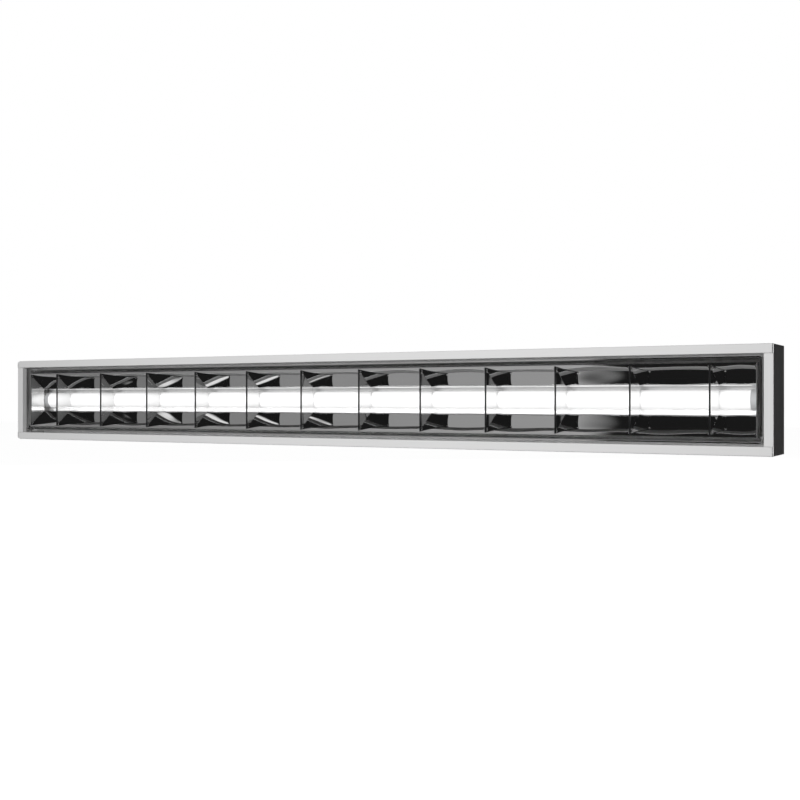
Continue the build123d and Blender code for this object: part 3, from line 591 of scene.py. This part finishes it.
# Materials
def principled(name, colour, roughness, metallic=0.0):
    """A new material; returns it with its node tree and its shader."""
    material = bpy.data.materials.new(name)
    material.use_nodes = True
    tree = material.node_tree
    shader = tree.nodes["Principled BSDF"]
    shader.inputs["Base Color"].default_value = (*colour, 1)
    shader.inputs["Roughness"].default_value = roughness
    shader.inputs["Metallic"].default_value = metallic
    return material, tree, shader


def object_noise(tree, scale, detail=2.0, stretch=(1, 1, 1)):
    """A noise texture fixed to the object, finer along the axes with a larger stretch."""
    coordinates = tree.nodes.new("ShaderNodeTexCoord")
    mapping = tree.nodes.new("ShaderNodeMapping")
    mapping.inputs["Scale"].default_value = stretch
    noise = tree.nodes.new("ShaderNodeTexNoise")
    noise.inputs["Scale"].default_value = scale
    noise.inputs["Detail"].default_value = detail
    tree.links.new(coordinates.outputs["Object"], mapping.inputs["Vector"])
    tree.links.new(mapping.outputs["Vector"], noise.inputs["Vector"])
    return noise


def add_bump(tree, shader, noise, strength, distance):
    bump = tree.nodes.new("ShaderNodeBump")
    bump.inputs["Strength"].default_value = strength
    bump.inputs["Distance"].default_value = distance
    tree.links.new(noise.outputs["Fac"], bump.inputs["Height"])
    tree.links.new(bump.outputs["Normal"], shader.inputs["Normal"])


def vary(tree, shader, socket, noise, low, high):
    """Lets a number on the shader run from low to high with the noise."""
    spread = tree.nodes.new("ShaderNodeMapRange")
    spread.inputs["From Min"].default_value = 0.3
    spread.inputs["From Max"].default_value = 0.7
    spread.inputs["To Min"].default_value = low
    spread.inputs["To Max"].default_value = high
    tree.links.new(noise.outputs["Fac"], spread.inputs["Value"])
    tree.links.new(spread.outputs["Result"], shader.inputs[socket])


def vary_colour(tree, shader, noise, first, second):
    mix = tree.nodes.new("ShaderNodeMix")
    mix.data_type = "RGBA"
    mix.inputs["A"].default_value = (*first, 1)
    mix.inputs["B"].default_value = (*second, 1)
    tree.links.new(noise.outputs["Fac"], mix.inputs["Factor"])
    tree.links.new(mix.outputs["Result"], shader.inputs["Base Color"])


def powder_coat(name, colour, roughness):
    """Painted steel: fine orange peel and a barely uneven tone."""
    material, tree, shader = principled(name, colour, roughness)
    darker = [c * 0.96 for c in colour]
    vary_colour(tree, shader, object_noise(tree, 6, 3), darker, colour)
    vary(tree, shader, "Roughness", object_noise(tree, 40, 3), roughness - 0.05, roughness + 0.05)
    add_bump(tree, shader, object_noise(tree, 900, 2), 0.12, 0.0002)
    return material


def mirror_aluminium(name):
    """Bright rolled aluminium: nearly a mirror, with faint rolling lines."""
    material, tree, shader = principled(name, (0.88, 0.88, 0.88), 0.02, 1.0)
    lines = object_noise(tree, 60, 4, (0.05, 8, 8))
    vary(tree, shader, "Roughness", lines, 0.01, 0.03)
    return material


def metal(name, colour, roughness, stretch=(1, 1, 1), metallic=1.0):
    material, tree, shader = principled(name, colour, roughness, metallic)
    grain = object_noise(tree, 400, 3, stretch)
    vary(tree, shader, "Roughness", grain, roughness - 0.06, roughness + 0.08)
    add_bump(tree, shader, grain, 0.1, 0.0001)
    return material


def moulding(name, colour, roughness):
    material, tree, shader = principled(name, colour, roughness)
    grain = object_noise(tree, 1500, 2)
    vary_colour(tree, shader, object_noise(tree, 30, 2), [c * 0.94 for c in colour], colour)
    add_bump(tree, shader, grain, 0.08, 0.0001)
    return material


def opal_tube(name):
    """White coated glass of a lamp, smooth and glossy. Its glow is strongest on the front half and weak at
    the back: partly the tube's own forward glow, partly painted light that makes the front look lit and the
    top and bottom edges look shaded.
    """
    material, tree, shader = principled(name, (0.9, 0.9, 0.9), 0.22)
    vary_colour(tree, shader, object_noise(tree, 20, 2), (0.88, 0.88, 0.88), (0.92, 0.92, 0.92))
    coordinates = tree.nodes.new("ShaderNodeTexCoord")
    parts = tree.nodes.new("ShaderNodeSeparateXYZ")
    tree.links.new(coordinates.outputs["Object"], parts.inputs["Vector"])
    # Glow by depth in the tube, strong at the front and weak at the back: partly painted light for a
    # front-lit look with shaded edges
    glow = tree.nodes.new("ShaderNodeMapRange")
    glow.interpolation_type = "SMOOTHSTEP"
    glow.inputs["From Min"].default_value = lamp_axis_y + 0.008
    glow.inputs["From Max"].default_value = lamp_axis_y - 0.012
    glow.inputs["To Min"].default_value = 0.06
    glow.inputs["To Max"].default_value = lamp_glow
    tree.links.new(parts.outputs["Y"], glow.inputs["Value"])
    tree.links.new(glow.outputs["Result"], shader.inputs["Emission Strength"])
    shader.inputs["Emission Color"].default_value = (1, 1, 1, 1)
    shader.inputs["Coat Weight"].default_value = 0.5
    shader.inputs["Coat Roughness"].default_value = 0.05
    return material


finishes = {
    "housing_paint": powder_coat("housing_paint", (0.78, 0.78, 0.78), 0.45),
    "tray_paint": powder_coat("tray_paint", (0.84, 0.84, 0.84), 0.35),
    "reflector_sheet": mirror_aluminium("reflector_sheet"),
    # Nearly black colour for the blade noses: painted shade that draws each blade's front as a dark line
    "dark_painted_fold": metal("dark_painted_fold", (0.16, 0.16, 0.165), 0.35),
    "plated_steel": metal("plated_steel", (0.62, 0.62, 0.60), 0.32),
    "spring_steel": metal("spring_steel", (0.50, 0.51, 0.53), 0.28, (1, 12, 12)),
    "plain_aluminium": metal("plain_aluminium", (0.82, 0.83, 0.84), 0.5, metallic=0.3),
    "contact_brass": metal("contact_brass", (0.78, 0.60, 0.30), 0.30),
    "opal_glass": opal_tube("opal_glass"),
    "white_moulding": moulding("white_moulding", (0.84, 0.84, 0.82), 0.35),
    "grey_moulding": moulding("grey_moulding", (0.60, 0.61, 0.61), 0.5),
    "board_green": moulding("board_green", (0.06, 0.24, 0.12), 0.5),
    "chip_yellow": moulding("chip_yellow", (0.86, 0.70, 0.16), 0.35),
    "lead_brown": moulding("lead_brown", (0.20, 0.09, 0.04), 0.5),
    "lead_blue": moulding("lead_blue", (0.05, 0.16, 0.52), 0.5),
    "lead_green_yellow": moulding("lead_green_yellow", (0.45, 0.60, 0.06), 0.5),
    "black_rubber": moulding("black_rubber", (0.03, 0.03, 0.03), 0.7),
}


def dress(piece, slot):
    piece.data.materials.clear()
    piece.data.materials.append(finishes[slot])


for node in nodes.values():
    for material_slot in node.material_slots:
        material_slot.material = finishes[material_slot.material.name.split(".")[0]]


# Lamp tube
def lamp_tube():
    """The glass tube, turned, with its ends drawn in under the caps."""
    low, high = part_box("lamp_tube")
    radius = (high.z - low.z) / 2
    centre = (low + high) / 2
    neck = 0.0012
    shoulder = 0.0003
    lengths = 40
    segments = 96
    left_end = [(low.x, radius - neck), (low.x + neck, radius - shoulder), (low.x + 2 * neck, radius)]
    right_end = [(high.x + low.x - x, r) for x, r in reversed(left_end)]
    middle = [(low.x + (high.x - low.x) * i / lengths, radius) for i in range(1, lengths)]
    profile = left_end + middle + right_end
    bm = bmesh.new()
    rings = []
    turns = [2 * math.pi * k / segments for k in range(segments)]
    for x, r in profile:
        places = [(x, centre.y + r * math.cos(a), centre.z + r * math.sin(a)) for a in turns]
        rings.append([bm.verts.new(place) for place in places])
    for ring, following in zip(rings, rings[1:]):
        for k in range(segments):
            after = (k + 1) % segments
            bm.faces.new((ring[k], ring[after], following[after], following[k]))
    bm.faces.new(rings[0])
    bm.faces.new(rings[-1])
    bmesh.ops.recalc_face_normals(bm, faces=bm.faces)
    piece = object_from(bm, "opal_lamp_tube")
    shade(piece.data)
    return piece


tube = lamp_tube()
dress(tube, "opal_glass")
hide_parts("lamp_tube")
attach(tube, "lamp")

for side, name in ((1, "side_reflector_top"), (-1, "side_reflector_bottom")):
    piece = side_reflector(side, name)
    dress(piece, "reflector_sheet")
    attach(piece, "louvre")

for name, x in zip(blade_names, blade_places):
    piece = cross_blade(name, x)
    dress(piece, "reflector_sheet")
    # Colours the nose nearly black: painted shade
    paint_fold_dark(piece, x)
    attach(piece, "louvre")

for side, name in ((-1, "end_blade_left"), (1, "end_blade_right")):
    for piece in (end_blade(side, name), hinge_ear(side, name + "_ear")):
        dress(piece, "reflector_sheet")
        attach(piece, "louvre")


# Studio
def seen_directly(tree):
    """1 for the rays that look at a background by eye, in a mirror or through glass, else 0."""
    paths = tree.nodes.new("ShaderNodeLightPath")
    sources = ("Is Glossy Ray", "Is Transmission Ray")
    found = paths.outputs["Is Camera Ray"]
    for source in sources:
        total = tree.nodes.new("ShaderNodeMath")
        total.operation = "ADD"
        total.use_clamp = True
        tree.links.new(found, total.inputs[0])
        tree.links.new(paths.outputs[source], total.inputs[1])
        found = total.outputs["Value"]
    return found


def surround():
    """The dim studio that the mirrors face, as a few plain panels in a dark room."""
    bm = bmesh.new()
    bmesh.ops.create_uvsphere(bm, u_segments=128, v_segments=64, radius=surround_radius)
    shell = object_from(bm, "studio_surround")
    material = bpy.data.materials.new("studio_surround")
    material.use_nodes = True
    tree = material.node_tree
    tree.nodes.clear()
    output = tree.nodes.new("ShaderNodeOutputMaterial")
    glow = tree.nodes.new("ShaderNodeEmission")
    coordinates = tree.nodes.new("ShaderNodeTexCoord")
    direction = tree.nodes.new("ShaderNodeVectorMath")
    direction.operation = "NORMALIZE"
    parts = tree.nodes.new("ShaderNodeSeparateXYZ")
    tree.links.new(coordinates.outputs["Object"], direction.inputs[0])
    tree.links.new(direction.outputs["Vector"], parts.inputs["Vector"])

    def number(operation, *values):
        node = tree.nodes.new("ShaderNodeMath")
        node.operation = operation
        for socket, value in zip(node.inputs, values):
            if isinstance(value, (int, float)):
                socket.default_value = value
            else:
                tree.links.new(value, socket)
        return node.outputs["Value"]

    def rise(value, low, high, bottom=0.0, top=1.0):
        """Runs smoothly from bottom to top while value runs from low to high."""
        spread = tree.nodes.new("ShaderNodeMapRange")
        spread.interpolation_type = "SMOOTHSTEP"
        spread.inputs["From Min"].default_value = low
        spread.inputs["From Max"].default_value = high
        spread.inputs["To Min"].default_value = bottom
        spread.inputs["To Max"].default_value = top
        tree.links.new(value, spread.inputs["Value"])
        return spread.outputs["Result"]

    def between(value, low, high):
        return number(
            "MULTIPLY",
            rise(value, low - panel_edge, low + panel_edge),
            rise(value, high + panel_edge, high - panel_edge),
        )

    across = parts.outputs["X"]
    height = number("ABSOLUTE", parts.outputs["Z"])
    wall = number("MULTIPLY", between(across, *wall_span), rise(across, *wall_span, *wall_tones))
    tone = number("ADD", wall, room_tone)
    for span, heights, panel_tone in studio_panels:
        shape = number("MULTIPLY", between(across, *span), between(height, *heights))
        tone = number("ADD", tone, number("MULTIPLY", shape, panel_tone))
    tree.links.new(tone, glow.inputs["Strength"])
    tree.links.new(glow.outputs["Emission"], output.inputs["Surface"])
    shell.data.materials.append(material)
    shell.visible_camera = False
    shell.visible_diffuse = False
    shell.visible_shadow = False
    shell.visible_transmission = False


def floor():
    """A plain pale floor, white to the camera, that keeps a soft shadow."""
    bm = bmesh.new()
    bmesh.ops.create_grid(bm, x_segments=1, y_segments=1, size=floor_half)
    piece = object_from(bm, "floor")
    piece.location = (0, 0, cad_box[0][2] - floor_drop)
    material = bpy.data.materials.new("floor")
    material.use_nodes = True
    tree = material.node_tree
    tree.nodes.clear()
    output = tree.nodes.new("ShaderNodeOutputMaterial")
    matt = tree.nodes.new("ShaderNodeBsdfDiffuse")
    matt.inputs["Color"].default_value = (0.9, 0.9, 0.9, 1)
    glow = tree.nodes.new("ShaderNodeEmission")
    strength = tree.nodes.new("ShaderNodeMath")
    strength.operation = "MULTIPLY"
    strength.inputs[1].default_value = floor_glow
    tree.links.new(seen_directly(tree), strength.inputs[0])
    tree.links.new(strength.outputs["Value"], glow.inputs["Strength"])
    both = tree.nodes.new("ShaderNodeAddShader")
    tree.links.new(matt.outputs["BSDF"], both.inputs[0])
    tree.links.new(glow.outputs["Emission"], both.inputs[1])
    tree.links.new(both.outputs["Shader"], output.inputs["Surface"])
    piece.data.materials.append(material)
    piece.visible_glossy = False
    piece.visible_diffuse = False


def world():
    """White where it is seen, a dim fill elsewhere."""
    studio = bpy.data.worlds.new("studio")
    studio.use_nodes = True
    tree = studio.node_tree
    background = tree.nodes["Background"]
    background.inputs["Strength"].default_value = 1
    mix = tree.nodes.new("ShaderNodeMix")
    mix.data_type = "RGBA"
    mix.inputs["A"].default_value = (fill_tone, fill_tone, fill_tone, 1)
    mix.inputs["B"].default_value = (1, 1, 1, 1)
    tree.links.new(seen_directly(tree), mix.inputs["Factor"])
    tree.links.new(mix.outputs["Result"], background.inputs["Color"])
    bpy.context.scene.world = studio


def soft_lamp(name, place, target, size, power):
    light = bpy.data.lights.new(name, "AREA")
    light.shape = "RECTANGLE"
    light.size = size[0]
    light.size_y = size[1]
    light.energy = power
    lamp = bpy.data.objects.new(name, light)
    lamp.location = place
    lamp.rotation_euler = (Vector(target) - Vector(place)).to_track_quat("-Z", "Y").to_euler()
    lamp.visible_glossy = False
    bpy.context.scene.collection.objects.link(lamp)


def camera():
    data = bpy.data.cameras.new("camera")
    data.lens = camera_lens
    data.sensor_width = camera_sensor
    view = bpy.data.objects.new("camera", data)
    view.location = camera_place
    view.rotation_euler = (math.radians(90), 0, camera_turn)
    bpy.context.scene.collection.objects.link(view)
    bpy.context.scene.camera = view


camera()
floor()
world()
surround()
for name, place, size, power in soft_lamps:
    soft_lamp(name, place, (0, 0, 0), size, power)
for z, power in tray_lamps:
    soft_lamp("tray_light", (0, lamp_axis_y + tray_lamp_setback, z), (0, 0, z), tray_lamp_size, power)

bpy.context.scene.view_settings.view_transform = "Standard"
